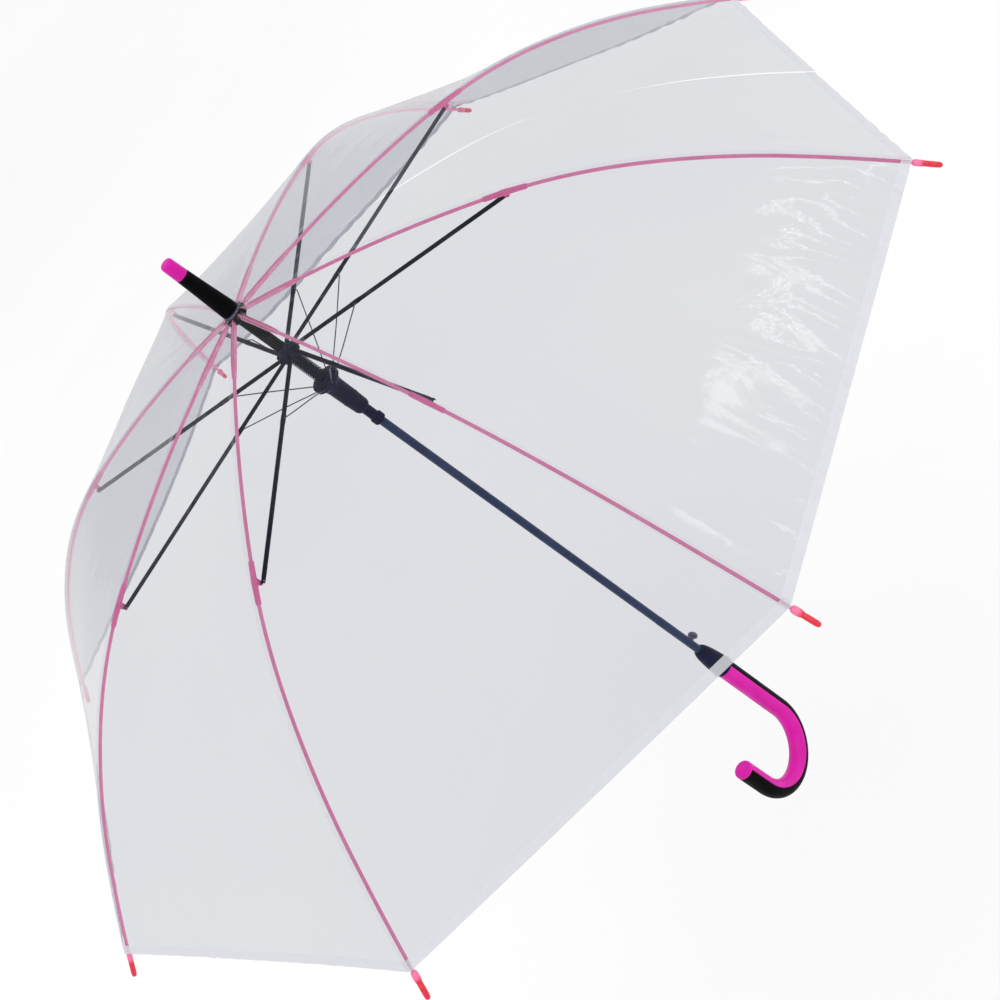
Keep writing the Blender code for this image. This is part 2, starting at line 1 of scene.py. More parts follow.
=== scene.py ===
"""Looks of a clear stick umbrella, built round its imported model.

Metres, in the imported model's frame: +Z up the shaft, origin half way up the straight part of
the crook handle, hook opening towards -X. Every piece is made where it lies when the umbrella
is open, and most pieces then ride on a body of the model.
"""

import json
import math

import bmesh
import bpy
import numpy as np
from mathutils import Matrix, Vector, noise


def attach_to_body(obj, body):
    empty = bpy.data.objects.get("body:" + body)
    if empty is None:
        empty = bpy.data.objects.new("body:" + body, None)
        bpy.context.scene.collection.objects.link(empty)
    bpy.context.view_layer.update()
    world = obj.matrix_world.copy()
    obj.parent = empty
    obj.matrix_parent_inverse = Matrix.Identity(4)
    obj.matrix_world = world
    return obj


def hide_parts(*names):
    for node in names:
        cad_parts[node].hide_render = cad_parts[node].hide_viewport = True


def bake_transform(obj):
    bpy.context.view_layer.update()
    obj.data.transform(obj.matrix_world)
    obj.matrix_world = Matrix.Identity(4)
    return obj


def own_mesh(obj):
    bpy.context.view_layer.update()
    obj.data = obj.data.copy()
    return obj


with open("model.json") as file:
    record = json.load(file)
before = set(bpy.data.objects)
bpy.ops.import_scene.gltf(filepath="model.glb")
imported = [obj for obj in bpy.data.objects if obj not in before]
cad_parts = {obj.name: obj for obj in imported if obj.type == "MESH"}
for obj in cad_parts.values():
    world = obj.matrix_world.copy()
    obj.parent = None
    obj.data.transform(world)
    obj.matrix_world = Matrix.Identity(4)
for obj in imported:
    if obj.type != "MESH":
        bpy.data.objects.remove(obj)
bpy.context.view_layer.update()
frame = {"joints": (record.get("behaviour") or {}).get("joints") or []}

# Places of the joints.
PIVOTS = {j["name"]: Vector(j["pos_m"]) for j in frame["joints"] if "pos_m" in j}
RIB_COUNT = sum(name.startswith("rib_hinge_") for name in PIVOTS)
NOTCH_Z = PIVOTS["rib_hinge_1"].z
RIB_HINGE_RADIUS = PIVOTS["rib_hinge_1"].xy.length
UPPER_CROWN_Z = PIVOTS["stretcher_hinge_1"].z
STRETCHER_HINGE_RADIUS = PIVOTS["stretcher_hinge_1"].xy.length
LOWER_CROWN_Z = PIVOTS["wire_hinge_1"].z
WIRE_HINGE_RADIUS = PIVOTS["wire_hinge_1"].xy.length
HALF_PANEL = math.pi / RIB_COUNT

# Places along the shaft, and the bore of the pieces that it passes through.
BUTTON_Z = NOTCH_Z - 0.603
COLLAR_FOOT_Z = NOTCH_Z - 0.654
SLEEVE_FOOT_Z = NOTCH_Z - 0.150
BORE = 0.0043

# The rib's bend: its angle below level at equal steps from the hinge to the cap's end.
RIB_LENGTH = 0.600
RIB_DROOP_DEG = (7.0, 12.0, 18.0, 33.0, 44.0, 49.0)
RIB_JOINT = 0.2545
RIB_RADIUS = 0.0015
RIB_END = 0.591
CAP_START = 0.576
PIN_DROP = 0.005
STRETCHER_SIDE = 0.0042
STRETCHER_HALF = 0.0019
WIRE_ATTACH = 0.073
CRANK_SIDE = 0.0017
CRANK_LENGTH = 0.0030

# Film.
FILM_LIFT = 0.0034
FILM_START = -0.0038
FILM_END = 0.5752
FILM_SAG = 0.008
HEM_CURVE = -0.001
HEM_WIDTH = 0.0085
CREASED_PANEL = 7
# Creases left from packing: place across the panel, depth and width.
CREASES = ((0.5, 0.0012, 0.0035), (0.27, 0.0004, 0.0045), (0.73, 0.0004, 0.0045))
NORMAL_STEP = 0.004

CAMERA_PLACE = (-0.953, -1.318, 1.409)
CAMERA_FORWARD = (0.4968, 0.6832, -0.5352)
CAMERA_UP = (0.8395, -0.2219, 0.4961)
LENS_MM = 75.14
FLOOR_Z = -0.75

UP = Vector((0.0, 0.0, 1.0))


# ---- places along a rib

ARC = np.linspace(-0.010, RIB_LENGTH, 1221)
DROOP = np.interp(ARC, np.linspace(0.0, RIB_LENGTH, len(RIB_DROOP_DEG)), np.radians(RIB_DROOP_DEG))


def running_sum(rate):
    """The integral of a rate along ARC, zero at the rib's hinge."""
    steps = (rate[1:] + rate[:-1]) / 2 * np.diff(ARC)
    total = np.concatenate(([0.0], np.cumsum(steps)))
    return total - np.interp(0.0, ARC, total)


RIB_OUT = RIB_HINGE_RADIUS + running_sum(np.cos(DROOP))
RIB_RISE = -running_sum(np.sin(DROOP))


def droop_at(arc):
    return float(np.interp(arc, ARC, DROOP))


def rib_point(arc, lift=0.0):
    """(radius, height from the notch) on the rib's centre line, or lifted off it."""
    droop = droop_at(arc)
    radius = float(np.interp(arc, ARC, RIB_OUT)) + lift * math.sin(droop)
    return radius, float(np.interp(arc, ARC, RIB_RISE)) + lift * math.cos(droop)


def rib_angle(index):
    """Direction of a rib about the shaft. Ribs count from 1, and the count goes round."""
    place = PIVOTS[f"rib_hinge_{(index - 1) % RIB_COUNT + 1}"]
    return math.atan2(place.y, place.x)


def outward(index):
    angle = rib_angle(index)
    return Vector((math.cos(angle), math.sin(angle), 0.0))


def sideways(index):
    return UP.cross(outward(index))


def upward(normal):
    return -normal if normal.z < 0 else normal


def spread(start, end, count):
    """Evenly spaced numbers, both ends included."""
    return np.linspace(start, end, count).tolist()


def station_place(index, radius, side, height):
    """A point at a rib's station: out from the shaft, across the rib, and up from the notch."""
    return outward(index) * radius + sideways(index) * side + UP * (NOTCH_Z + height)


def rib_frame(index, arc, lift=0.0):
    """(centre, across, normal) of the rib at a length along it."""
    droop = droop_at(arc)
    radius, height = rib_point(arc, lift)
    normal = outward(index) * math.sin(droop) + UP * math.cos(droop)
    return station_place(index, radius, 0.0, height), sideways(index), normal


# ---- mesh tools


def arc_points(radius, turns):
    return [(radius * math.cos(turn), radius * math.sin(turn)) for turn in turns]


def circle(radius, sides):
    return arc_points(radius, [2 * math.pi * step / sides for step in range(sides)])


def quarter(steps):
    """(sine, cosine) at equal steps of a quarter turn, without its start."""
    turns = [math.pi / 2 * step / steps for step in range(1, steps + 1)]
    return [(math.sin(turn), math.cos(turn)) for turn in turns]


def oval(half_width, half_height, sides=16, power=2.0):
    """An ellipse, or a squarer outline where the power is above 2."""
    points = []
    for turn_x, turn_y in circle(1.0, sides):
        x = math.copysign(abs(turn_x) ** (2 / power), turn_x)
        y = math.copysign(abs(turn_y) ** (2 / power), turn_y)
        points.append((half_width * x, half_height * y))
    return points


def soften(outline, reach, steps=3):
    """The outline with each corner off the axis rounded."""
    points = []
    for index, here in enumerate(outline):
        here = Vector(here)
        if abs(here.x) < 1e-7:
            points.append(tuple(here))
            continue
        before = Vector(outline[index - 1]) - here
        after = Vector(outline[(index + 1) % len(outline)]) - here
        first = here + before.normalized() * min(reach, before.length * 0.45)
        last = here + after.normalized() * min(reach, after.length * 0.45)
        for step in range(steps + 1):
            t = step / steps
            points.append(tuple(first * (1 - t) ** 2 + here * 2 * t * (1 - t) + last * t * t))
    return points


def skin(shape, rings, ends=True, round_ring=True, loop=False):
    """Faces between neighbouring rings of points."""
    rows = [[shape.verts.new(point) for point in ring] for ring in rings]
    pairs = list(zip(rows, rows[1:]))
    if loop:
        pairs.append((rows[-1], rows[0]))
    for first, second in pairs:
        count = len(first)
        for index in range(count if round_ring else count - 1):
            after = (index + 1) % count
            shape.faces.new((first[index], first[after], second[after], second[index]))
    if ends and not loop:
        shape.faces.new(list(reversed(rows[0])))
        shape.faces.new(rows[-1])
    return rows


def sweep(shape, frames, sections):
    """A solid through (centre, x axis, y axis) frames, each with its own outline."""
    rings = []
    for (centre, x_axis, y_axis), section in zip(frames, sections):
        rings.append([centre + x_axis * x + y_axis * y for x, y in section])
    skin(shape, rings)


def lathe(shape, profile, steps=48, where=Matrix.Identity(4)):
    """A solid of revolution about Z from a closed (radius, height) profile."""
    rings = []
    for step in range(steps):
        turn = 2 * math.pi * step / steps
        rings.append(
            [where @ Vector((r * math.cos(turn), r * math.sin(turn), z)) for r, z in profile]
        )
    skin(shape, rings, loop=True)


def tube_along(shape, path, radius, sides=8, side_hint=UP):
    """A round wire through points, with flat ends."""
    frames = []
    for index, place in enumerate(path):
        before = path[max(index - 1, 0)]
        after = path[min(index + 1, len(path) - 1)]
        along = (after - before).normalized()
        x_axis = along.cross(side_hint).normalized()
        frames.append((place, x_axis, x_axis.cross(along)))
    sweep(shape, frames, [circle(radius, sides)] * len(path))


def plate(shape, outline, thickness, where):
    """A flat plate: a closed (x, z) outline with its thickness along Y."""
    rings = []
    for y in (-thickness / 2, thickness / 2):
        rings.append([where @ Vector((x, y, z)) for x, z in outline])
    skin(shape, rings)


def placed(place, x_axis, y_axis, z_axis):
    """The matrix that moves a shape's origin to a place and turns its axes to three directions."""
    return Matrix.Translation(place) @ Matrix((x_axis, y_axis, z_axis)).transposed().to_4x4()


def finish_mesh(shape, name, closed=True, sharp_deg=34.0):
    bmesh.ops.remove_doubles(shape, verts=shape.verts, dist=0.000004)
    bmesh.ops.dissolve_degenerate(shape, edges=shape.edges, dist=0.000002)
    if closed:
        bmesh.ops.recalc_face_normals(shape, faces=shape.faces)
    mesh = bpy.data.meshes.new(name)
    shape.to_mesh(mesh)
    shape.free()
    mesh.shade_smooth()
    mesh.set_sharp_from_angle(angle=math.radians(sharp_deg))
    return mesh


def add_object(name, data):
    thing = bpy.data.objects.new(name, data)
    bpy.context.scene.collection.objects.link(thing)
    return thing


def add_piece(name, fill, material, closed=True, sharp_deg=34.0):
    """An object whose mesh a function fills."""
    shape = bmesh.new()
    fill(shape)
    piece = add_object(name, finish_mesh(shape, name, closed, sharp_deg))
    piece.data.materials.append(material)
    return piece


def cut(piece, fill):
    """Takes the solid that a function fills out of the piece."""
    shape = bmesh.new()
    fill(shape)
    cutter = add_object("cutter", finish_mesh(shape, "cutter"))
    boolean = piece.modifiers.new("Cut", "BOOLEAN")
    boolean.object = cutter
    boolean.solver = "EXACT"
    bpy.context.view_layer.update()
    seen = piece.evaluated_get(bpy.context.evaluated_depsgraph_get())
    mesh = bpy.data.meshes.new_from_object(seen)
    piece.modifiers.clear()
    piece.data = mesh
    mesh.shade_smooth()
    mesh.set_sharp_from_angle(angle=math.radians(34))
    bpy.data.objects.remove(cutter, do_unlink=True)
    return piece


def turned(name, profile, material, corner, steps=64):
    """A turned piece with its corners softened."""
    return add_piece(name, lambda s: lathe(s, soften(profile, corner), steps), material)


def settle(piece, body, slot, *nodes):
    """The piece rides on a body and stands for CAD nodes; the slot is not used."""
    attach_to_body(piece, body)
    if nodes:
        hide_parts(*nodes)
    return piece


# ---- materials


class Graph:
    """Short calls for building a material's nodes."""

    def __init__(self, name):
        self.material = bpy.data.materials.new(name)
        self.material.use_nodes = True
        self.tree = self.material.node_tree
        self.tree.nodes.clear()
        self.output = self.tree.nodes.new("ShaderNodeOutputMaterial")
        self.place = self.tree.nodes.new("ShaderNodeTexCoord").outputs["Object"]

    def link(self, source, target):
        if isinstance(source, (int, float)):
            target.default_value = source
        elif isinstance(source, tuple):
            target.default_value = (*source, 1.0)
        else:
            self.tree.links.new(source, target)

    def add(self, kind, inputs=None, **values):
        """A node with its settings, and a number, colour or socket for each input named."""
        node = self.tree.nodes.new(kind)
        for key, value in values.items():
            setattr(node, key, value)
        for key, source in (inputs or {}).items():
            self.link(source, node.inputs[key])
        return node

    def noise(self, scale, detail=4.0, rough=0.5, stretch=None, warp=0.0):
        place = self.place
        if stretch is not None:
            mapping = self.add("ShaderNodeMapping", {"Vector": place})
            mapping.inputs["Scale"].default_value = stretch
            place = mapping.outputs["Vector"]
        inputs = {"Scale": scale, "Detail": detail, "Roughness": rough, "Distortion": warp, "Vector": place}
        return self.add("ShaderNodeTexNoise", inputs).outputs["Fac"]

    def ramp(self, source, low, high, start=0.0, end=1.0):
        """A number that runs from start to end as the source runs from low to high."""
        inputs = {"Value": source, "From Min": low, "From Max": high, "To Min": start, "To Max": end}
        return self.add("ShaderNodeMapRange", inputs).outputs["Result"]

    def math(self, operation, first, second=0.0):
        node = self.add("ShaderNodeMath", {0: first, 1: second}, operation=operation)
        return node.outputs["Value"]

    def times(self, first, second):
        return self.math("MULTIPLY", first, second)

    def plus(self, first, second):
        return self.math("ADD", first, second)

    def mix(self, share, first, second):
        return self.add("ShaderNodeMix", {0: share, 6: first, 7: second}, data_type="RGBA").outputs[2]

    def mix_shaders(self, share, first, second):
        return self.add("ShaderNodeMixShader", {0: share, 1: first, 2: second}).outputs["Shader"]

    def bump(self, height, distance, strength=1.0, under=None):
        inputs = {"Height": height, "Distance": distance, "Strength": strength}
        if under is not None:
            inputs["Normal"] = under
        return self.add("ShaderNodeBump", inputs).outputs["Normal"]

    def edges(self, low=0.52, high=0.62):
        """1 along worn convex edges, 0 elsewhere."""
        geometry = self.add("ShaderNodeNewGeometry")
        return self.ramp(geometry.outputs["Pointiness"], low, high)

    def principled(self, colour, roughness, normal=None, **fixed):
        inputs = {"Base Color": colour, "Roughness": roughness}
        if normal is not None:
            inputs["Normal"] = normal
        inputs |= {name.replace("_", " "): value for name, value in fixed.items()}
        return self.add("ShaderNodeBsdfPrincipled", inputs).outputs["BSDF"]

    def done(self, shader):
        self.link(shader, self.output.inputs["Surface"])
        return self.material


def plastic(name, colour, deep, roughness, grain=2600.0, coat=0.0, worn=None, shine=0.4):
    """Moulded plastic: cloudy colour, fine grain, rubbed edges, a few hair scratches."""
    graph = Graph(name)
    cloud = graph.ramp(graph.noise(38.0, 5.0, 0.6), 0.35, 0.7)
    base = graph.mix(cloud, colour, deep)
    speck = graph.ramp(graph.noise(900.0, 3.0, 0.7), 0.60, 0.78, 0.0, 0.5)
    base = graph.mix(speck, base, tuple(min(1.0, c * 1.25 + 0.002) for c in colour))
    if worn:
        base = graph.mix(graph.times(graph.edges(), 0.55), base, worn)
    hair = graph.noise(260.0, 2.0, 0.5, (1.0, 1.0, 0.06), 0.6)
    scratch = graph.ramp(hair, 0.66, 0.70)
    finish = graph.ramp(graph.noise(70.0, 6.0, 0.65), 0.3, 0.75, roughness - 0.07, roughness + 0.10)
    finish = graph.plus(finish, graph.times(scratch, 0.12))
    normal = graph.bump(graph.noise(grain, 2.0, 0.5), 0.00003, 0.5)
    normal = graph.bump(scratch, 0.00002, 0.25, normal)
    shader = graph.principled(
        base, finish, normal, Coat_Weight=coat, Coat_Roughness=0.18, Specular_IOR_Level=shine
    )
    return graph.done(shader)


def enamel(name, colour, deep, bare, roughness, metallic=0.35, shine=0.5, coat=0.25):
    """Painted metal: orange peel, drawn lines under the paint, bare metal on worn edges."""
    graph = Graph(name)
    cloud = graph.ramp(graph.noise(55.0, 6.0, 0.62), 0.32, 0.72)
    base = graph.mix(cloud, colour, deep)
    chips = graph.ramp(graph.noise(420.0, 5.0, 0.75, None, 0.4), 0.66, 0.70)
    rubbed = graph.times(graph.edges(0.53, 0.66), graph.ramp(graph.noise(150.0), 0.4, 0.6))
    bare_share = graph.math("MAXIMUM", graph.times(chips, 0.6), rubbed)
    base = graph.mix(bare_share, base, bare)
    drawn = graph.noise(900.0, 2.0, 0.5, (1.0, 1.0, 0.05))
    finish = graph.ramp(drawn, 0.3, 0.7, roughness - 0.06, roughness + 0.10)
    normal = graph.bump(graph.noise(700.0, 3.0, 0.5), 0.00003, 0.35)
    normal = graph.bump(drawn, 0.00003, 0.3, normal)
    shader = graph.principled(
        base,
        finish,
        normal,
        Metallic=metallic,
        Coat_Weight=coat,
        Coat_Roughness=0.2,
        Specular_IOR_Level=shine,
    )
    return graph.done(shader)


def steel(name, colour, stain, rub):
    """Oiled spring steel: drawn lines, dark stains, bright rubs."""
    graph = Graph(name)
    stains = graph.ramp(graph.noise(120.0, 6.0, 0.7, None, 0.5), 0.42, 0.66)
    base = graph.mix(stains, colour, stain)
    drawn = graph.noise(1800.0, 2.0, 0.6, (1.0, 1.0, 0.2))
    base = graph.mix(graph.ramp(drawn, 0.6, 0.75, 0.0, 0.4), base, rub)
    finish = graph.ramp(drawn, 0.3, 0.7, 0.24, 0.46)
    shader = graph.principled(base, finish, graph.bump(drawn, 0.00002, 0.5), Metallic=0.9)
    return graph.done(shader)


def two_pinks(name, socket, tip):
    """Translucent plastic that runs from the socket's colour to the tip's along the piece."""
    graph = Graph(name)
    along = graph.add("ShaderNodeAttribute", attribute_name="along").outputs["Fac"]
    edge = graph.plus(along, graph.ramp(graph.noise(300.0), 0.3, 0.7, -0.03, 0.03))
    share = graph.ramp(edge, 0.22, 0.38)
    base = graph.mix(share, socket, tip)
    streak = graph.ramp(graph.noise(240.0, 4.0, 0.6), 0.52, 0.75, 0.0, 0.35)
    base = graph.mix(graph.times(streak, 0.4), base, (0.95, 0.42, 0.52))
    finish = graph.ramp(graph.noise(160.0, 5.0), 0.3, 0.7, 0.20, 0.38)
    normal = graph.bump(graph.noise(1400.0, 2.0), 0.00003, 0.4)
    shader = graph.principled(
        base, finish, normal, Subsurface_Weight=0.08, Subsurface_Scale=0.002, Coat_Weight=0.2
    )
    return graph.done(shader)


def film(name, tint, deep, haze, shine_rough, wave, mirror_base=0.005, milk_colour=(0.80, 0.81, 0.86)):
    """Clear plastic film: a grey tint, thin milky haze, and a glossy face with fine creases."""
    graph = Graph(name)
    drift = graph.ramp(graph.noise(4.5, 4.0, 0.55, None, 0.6), 0.3, 0.75)
    through = graph.add("ShaderNodeBsdfTransparent", {"Color": graph.mix(drift, tint, deep)})
    rolled = graph.noise(26.0, 3.0, 0.55, (1.0, 1.0, 0.35), 1.4)
    peel = graph.noise(240.0, 2.0, 0.5)
    normal = graph.bump(rolled, 0.0011, wave)
    normal = graph.bump(peel, 0.00004, 0.4, normal)
    milk = graph.principled(milk_colour, 0.45, normal)
    facing = graph.add("ShaderNodeLayerWeight", {"Blend": 0.5}).outputs["Facing"]
    grazing = graph.math("POWER", facing, 4.0)
    streaks = graph.ramp(graph.noise(14.0, 5.0, 0.6, (1.0, 1.0, 0.25), 0.8), 0.45, 0.75, 0.0, 0.01)
    milky = graph.plus(graph.times(grazing, 0.5), streaks)
    milky = graph.plus(milky, haze)
    body = graph.mix_shaders(milky, through.outputs["BSDF"], milk)
    gloss = graph.add("ShaderNodeBsdfGlossy", {"Roughness": shine_rough, "Normal": normal})
    mirror = graph.plus(graph.times(graph.math("POWER", facing, 5.0), 0.6), mirror_base)
    return graph.done(graph.mix_shaders(mirror, body, gloss.outputs["BSDF"]))


def floor_material():
    graph = Graph("pale_floor")
    tone = graph.ramp(graph.noise(0.8, 3.0), 0.3, 0.7)
    base = graph.mix(tone, (0.90, 0.90, 0.905), (0.92, 0.92, 0.92))
    return graph.done(graph.principled(base, 0.9))


MAGENTA = plastic("magenta_plastic", (0.72, 0.008, 0.40), (0.60, 0.004, 0.32), 0.40, 1900.0, 0.0, shine=0.2)
BLACK = plastic(
    "black_plastic", (0.0006, 0.0006, 0.0008), (0.0014, 0.0014, 0.002), 0.50, 1500.0, 0.0,
    (0.008, 0.008, 0.01), 0.05
)
NAVY = plastic(
    "navy_plastic", (0.003, 0.005, 0.040), (0.002, 0.003, 0.024), 0.45, 2000.0, 0.0, (0.03, 0.04, 0.09), 0.12
)
GREY = plastic("grey_plastic", (0.13, 0.12, 0.20), (0.09, 0.085, 0.15), 0.40, 2200.0, 0.1)
SHAFT_PAINT = enamel(
    "shaft_metal", (0.018, 0.042, 0.120), (0.009, 0.020, 0.068), (0.14, 0.17, 0.25), 0.36, 0.3, 0.3, 0.1
)
BLACK_PAINT = enamel(
    "black_metal", (0.0012, 0.0014, 0.010), (0.0035, 0.004, 0.022), (0.05, 0.055, 0.09), 0.45, 0.0, 0.08, 0.0
)
PINK_PAINT = enamel(
    "pink_metal", (0.98, 0.30, 0.54), (0.90, 0.22, 0.46), (0.95, 0.60, 0.72), 0.42, 0.0, 0.3, 0.1
)
PINK_CLIP = plastic("pink_clip", (0.95, 0.20, 0.45), (0.86, 0.14, 0.38), 0.36, 1700.0, 0.1)
STEEL = steel("spring_steel", (0.16, 0.16, 0.19), (0.06, 0.06, 0.08), (0.45, 0.45, 0.48))
OILED = steel("oiled_spring", (0.035, 0.037, 0.055), (0.012, 0.013, 0.024), (0.12, 0.12, 0.15))
CAP_PINKS = two_pinks("pink_plastic", (0.88, 0.16, 0.34), (0.72, 0.003, 0.03))
CLEAR = film("clear_film", (0.745, 0.75, 0.78), (0.72, 0.73, 0.76), 0.003, 0.06, 0.30)
HEM = film("hem_film", (0.96, 0.96, 0.97), (0.95, 0.95, 0.96), 0.66, 0.22, 0.25, 0.005, (0.66, 0.665, 0.71))
WELD = film("weld_film", (0.97, 0.95, 0.96), (0.95, 0.93, 0.94), 0.03, 0.14, 0.30)


# ---- shaft, ferrule and notch


def side_slot(shape, outline, middle, inner, outer):
    """A slot through the wall on the button's side, from its (height, across) outline."""
    skin(shape, [[Vector((x, b, middle + a)) for a, b in outline] for x in (inner, outer)])


def build_shaft():
    foot = 0.008
    top = NOTCH_Z + 0.040
    bore = 0.0034
    profile = [
        (bore, top), (0.0040, top), (0.0040, BUTTON_Z + 0.052), (0.0042, BUTTON_Z + 0.050),
        (0.0042, BUTTON_Z - 0.020), (0.0040, BUTTON_Z - 0.022), (0.0040, foot), (bore, foot),
    ]
    shaft = turned("shaft_tube", profile, SHAFT_PAINT, 0.0003, 48)
    cut(shaft, lambda s: side_slot(s, oval(0.0052, 0.0021, 20, 4.0), BUTTON_Z, 0.001, 0.006))
    settle(shaft, "root", "shaft_metal", "shaft")


def build_ferrule():
    base = NOTCH_Z + 0.0055
    joint = NOTCH_Z + 0.0585
    tip = NOTCH_Z + 0.0773
    sleeve = [
        (BORE, joint - 0.018), (0.0, joint - 0.018), (0.0, joint), (0.0062, joint),
        (0.0066, joint - 0.0005), (0.0071, joint - 0.0160), (0.0085, base + 0.0042),
        (0.0086, base + 0.0030), (0.0083, base + 0.0026), (0.0083, base + 0.0020),
        (0.0086, base + 0.0016), (0.0084, base), (BORE, base),
    ]
    piece = turned("ferrule_sleeve", sleeve, BLACK, 0.0004)
    settle(piece, "root", "black_plastic", "ferrule")
    corner = 0.0026
    dome = [(0.0, tip)]
    dome += [(0.0036 + corner * out, tip - corner * (1 - rise)) for out, rise in quarter(8)]
    dome += [(0.0063, tip - 0.0050), (0.0066, joint + 0.0006)]
    dome += [(0.0064, joint + 0.0001), (0.0, joint + 0.0001)]
    piece = add_piece("ferrule_end", lambda s: lathe(s, dome, 64), MAGENTA)
    settle(piece, "root", "magenta_plastic", "ferrule_tip")


def hinge_wire(name, body, radius, height, wire):
    """The ring that a crown's links turn on."""
    profile = [(radius + x, height + z) for x, z in circle(wire, 10)]
    settle(add_piece(name, lambda s: lathe(s, profile, 64), STEEL), body, "spring_steel")


def radial_boxes(shape, width, inner, outer, low, high, side=0.0):
    """Eight slots for the ribs, stretchers or wires, each with rounded walls."""
    outline = oval((outer - inner) / 2, (high - low) / 2, 20, 6.0)
    for index in range(1, RIB_COUNT + 1):
        centre = outward(index) * (outer + inner) / 2 + UP * (high + low) / 2
        rings = []
        for wall in (-width / 2, width / 2):
            edge = centre + sideways(index) * (side + wall)
            rings.append([edge + outward(index) * x + UP * z for x, z in outline])
        skin(shape, rings)


def build_notch():
    sleeve_foot = UPPER_CROWN_Z + 0.0085
    profile = [
        (BORE, NOTCH_Z + 0.0026), (0.0106, NOTCH_Z + 0.0026), (0.0115, NOTCH_Z + 0.0016),
        (0.0115, NOTCH_Z - 0.0030), (0.0096, NOTCH_Z - 0.0042), (0.0078, NOTCH_Z - 0.0052),
        (0.0056, NOTCH_Z - 0.0072), (0.0051, NOTCH_Z - 0.0100), (0.0051, sleeve_foot + 0.0020),
        (0.0054, sleeve_foot + 0.0016), (0.0054, sleeve_foot), (BORE, sleeve_foot),
    ]
    piece = turned("notch_crown", profile, BLACK, 0.0004)
    cut(piece, lambda s: radial_boxes(s, 0.0038, 0.0078, 0.0145, NOTCH_Z - 0.0062, NOTCH_Z + 0.0050))
    settle(piece, "root", "black_plastic", "top_notch")
    hinge_wire("notch_hinge_wire", "root", RIB_HINGE_RADIUS, NOTCH_Z, 0.0004)


def build_rosette():
    """The pleated film washer and the pressed cup that hold the canopy under the ferrule."""
    low = NOTCH_Z + 0.0042

    steps = 96
    shares = (0.0, 0.35, 0.7, 1.0)
    top_and_under = [(share, 0.0003) for share in shares] + [(share, 0.0001) for share in reversed(shares)]

    def petals(shape):
        rings = []
        for step in range(steps):
            turn = 2 * math.pi * step / steps
            ripple = math.cos(RIB_COUNT * 2 * turn)
            ring = []
            for share, face in top_and_under:
                radius = 0.0050 + (0.0062 + 0.0005 * ripple) * share
                height = low + face + 0.0004 * share * ripple
                ring.append(Vector((radius * math.cos(turn), radius * math.sin(turn), height)))
            rings.append(ring)
        skin(shape, rings, loop=True)

    settle(add_piece("canopy_rosette", petals, WELD), "root", "clear_film")
    cup = [
        (0.0045, low + 0.0012), (0.0080, low + 0.0012), (0.0090, low + 0.0007),
        (0.0090, low + 0.0005), (0.0079, low + 0.0009), (0.0045, low + 0.0009),
    ]
    settle(add_piece("canopy_washer", lambda s: lathe(s, cup, 64), GREY), "root", "grey_plastic")


# ---- runners, spring and button


def build_upper_runner():
    crown = UPPER_CROWN_Z
    foot = NOTCH_Z - 0.171
    profile = [
        (BORE, crown + 0.0060), (0.0060, crown + 0.0060), (0.0066, crown + 0.0036),
        (0.0108, crown + 0.0031), (0.0118, crown + 0.0022), (0.0118, crown - 0.0030),
        (0.0090, crown - 0.0037), (0.0066, crown - 0.0042), (0.0049, crown - 0.0046),
        (0.0049, foot + 0.0072), (0.0057, foot + 0.0069), (0.0062, foot + 0.0060),
        (0.0062, foot + 0.0042), (0.0059, foot + 0.0039), (0.0059, foot + 0.0033),
        (0.0062, foot + 0.0030), (0.0062, foot + 0.0008), (0.0055, foot), (BORE, foot),
    ]
    piece = turned("runner_crown", profile, NAVY, 0.0004)
    inner = STRETCHER_HINGE_RADIUS - 0.0024
    low = crown - 0.0054
    high = crown + 0.0080
    cut(piece, lambda s: radial_boxes(s, 0.0043, inner, 0.0150, low, high, STRETCHER_SIDE))
    cut(piece, lambda s: radial_boxes(s, 0.0020, 0.0109, 0.0150, low, high))
    cut(piece, lambda s: side_slot(s, oval(0.0086, 0.0020, 20, 5.0), foot + 0.0072, 0.002, 0.010))
    settle(piece, "upper_runner", "navy_plastic", "upper_runner")
    ring = math.hypot(STRETCHER_HINGE_RADIUS, STRETCHER_SIDE)
    hinge_wire("runner_hinge_wire", "upper_runner", ring, crown, 0.0004)


def build_lower_runner():
    crown = LOWER_CROWN_Z
    foot = SLEEVE_FOOT_Z
    wide = 0.0068
    narrow = 0.0052
    profile = [
        (wide, crown + 0.0050), (0.0080, crown + 0.0050), (0.0090, crown + 0.0032),
        (0.0124, crown + 0.0031), (0.0136, crown + 0.0020), (0.0136, crown - 0.0028),
        (0.0110, crown - 0.0048), (0.0094, crown - 0.0070), (0.0086, crown - 0.0110),
        (0.0083, foot + 0.0170), (0.0085, foot + 0.0166), (0.0085, foot + 0.0152),
        (0.0082, foot + 0.0148), (0.0077, foot + 0.0025), (0.0066, foot), (narrow, foot),
        (narrow, foot + 0.0030), (wide, foot + 0.0045),
    ]
    piece = turned("sleeve_crown", profile, NAVY, 0.0005)
    cut(piece, lambda s: radial_boxes(s, 0.0022, 0.0108, 0.0165, crown - 0.0074, crown + 0.0064))
    settle(piece, "lower_runner", "navy_plastic", "lower_runner")
    hinge_wire("sleeve_hinge_wire", "lower_runner", WIRE_HINGE_RADIUS, crown, 0.00035)


